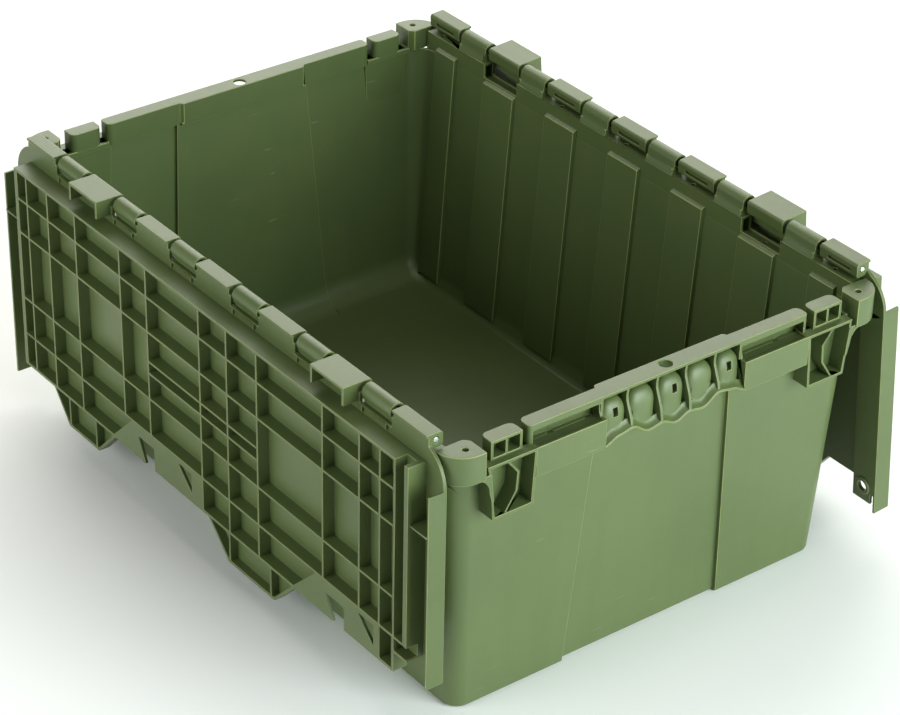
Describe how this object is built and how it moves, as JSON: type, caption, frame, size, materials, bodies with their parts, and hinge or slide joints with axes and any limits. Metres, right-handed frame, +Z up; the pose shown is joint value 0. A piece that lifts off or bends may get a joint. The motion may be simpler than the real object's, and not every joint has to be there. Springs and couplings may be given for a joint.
{
  "type": "attached lid tote",
  "caption": "Stackable moulded tote with two hinged interlocking lid leaves on steel rods and a hand grip at each end.",
  "frame": {"origin": "middle of the flat underside of the tub", "axes": "+Z up, +Y along the length towards the back end, +X across the width towards the right leaf"},
  "size_m": [0.4289, 0.546, 0.2377],
  "materials": {
    "tote_plastic": "satin moulded polypropylene, olive green",
    "lid_plastic": "satin moulded polypropylene, olive green",
    "rod_steel": "bright zinc-plated steel wire"
  },
  "bodies": {
    "tote": {"tote_tub": "tote_plastic", "end_rim_front": "tote_plastic", "hand_grip_front": "tote_plastic", "rim_tray_front_left": "tote_plastic", "tie_pocket_front_left": "tote_plastic", "stop_block_front_left": "tote_plastic", "corner_cap_front_left": "tote_plastic", "rim_tray_front_right": "tote_plastic", "tie_pocket_front_right": "tote_plastic", "stop_block_front_right": "tote_plastic", "corner_cap_front_right": "tote_plastic", "end_rim_back": "tote_plastic", "hand_grip_back": "tote_plastic", "rim_tray_back_left": "tote_plastic", "tie_pocket_back_left": "tote_plastic", "stop_block_back_left": "tote_plastic", "corner_cap_back_left": "tote_plastic", "rim_tray_back_right": "tote_plastic", "tie_pocket_back_right": "tote_plastic", "stop_block_back_right": "tote_plastic", "corner_cap_back_right": "tote_plastic", "hinge_rail_left": "tote_plastic", "hinge_rod_left": "rod_steel", "hinge_rail_right": "tote_plastic", "hinge_rod_right": "rod_steel"},
    "left_leaf": {"lid_leaf_left": "lid_plastic"},
    "right_leaf": {"lid_leaf_right": "lid_plastic"}
  },
  "joints": [
    {"name": "left_leaf_hinge", "type": "hinge", "parent": "tote", "child": "left_leaf", "pos_m": [-0.187, 0, 0.231], "axis": [0, 1, 0], "range_deg": [0, 270]},
    {"name": "right_leaf_hinge", "type": "hinge", "parent": "tote", "child": "right_leaf", "pos_m": [0.187, 0, 0.231], "axis": [0, -1, 0], "range_deg": [0, 266]}
  ]
}
